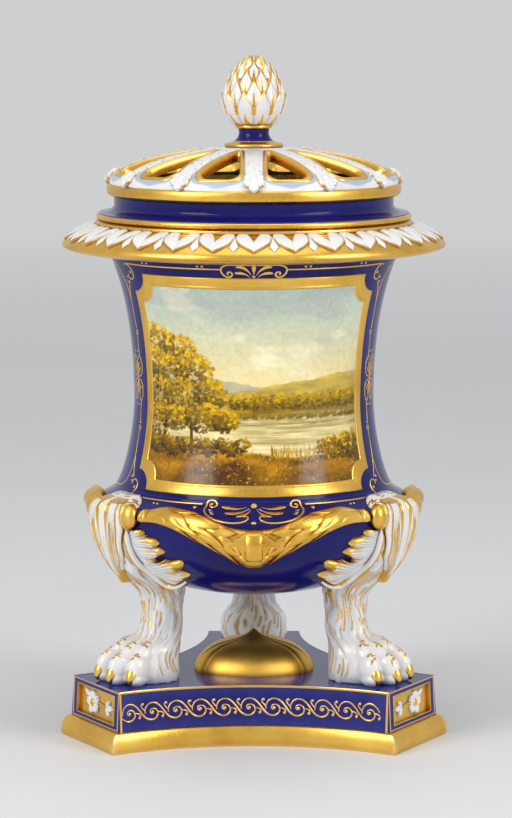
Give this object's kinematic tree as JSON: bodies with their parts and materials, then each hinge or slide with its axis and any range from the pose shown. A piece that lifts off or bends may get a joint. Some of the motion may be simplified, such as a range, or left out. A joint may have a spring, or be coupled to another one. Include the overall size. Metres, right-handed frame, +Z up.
{
  "type": "potpourri vase",
  "caption": "Covered potpourri vase: waisted body over a bowl on lion-paw legs and a hollow-sided plinth, with a pierced domed cover that lifts off.",
  "frame": {"origin": "centre of the foot, on the surface it stands on", "axes": "+Z up through the finial; -Y is the front, the hollow side between two legs; +Y is the third leg"},
  "size_m": [0.174, 0.172, 0.3049],
  "materials": {
    "cobalt_glaze": "gloss",
    "white_porcelain": "gloss",
    "gilding": "burnished gilding over glaze"
  },
  "bodies": {
    "vase": {"plinth": "cobalt_glaze", "foot_moulding": "gilding", "plinth_boss": "gilding", "flower_left": "white_porcelain", "flower_right": "white_porcelain", "flower_back": "white_porcelain", "leg_left": "white_porcelain", "leg_right": "white_porcelain", "leg_back": "white_porcelain", "knee_leaf_left": "white_porcelain", "knee_leaf_right": "white_porcelain", "knee_leaf_back": "white_porcelain", "side_leaves_left": "white_porcelain", "side_leaves_right": "white_porcelain", "side_leaves_back": "white_porcelain", "knobs_left": "gilding", "knobs_right": "gilding", "knobs_back": "gilding", "garland_front": "gilding", "garland_right": "gilding", "garland_left": "gilding", "bowl": "cobalt_glaze", "body_wall": "cobalt_glaze", "rim": "gilding", "rim_leaves": "white_porcelain", "neck_ring": "gilding", "neck": "cobalt_glaze"},
    "cover": {"cover_rim": "gilding", "cover_dome": "white_porcelain", "cover_leaves": "white_porcelain", "finial_collar": "gilding", "finial_stem": "cobalt_glaze", "finial_bud": "white_porcelain"}
  },
  "joints": [
    {"name": "cover_lift", "type": "slide", "parent": "vase", "child": "cover", "axis": [0, 0, 1], "range_m": [0, 0.08]}
  ]
}
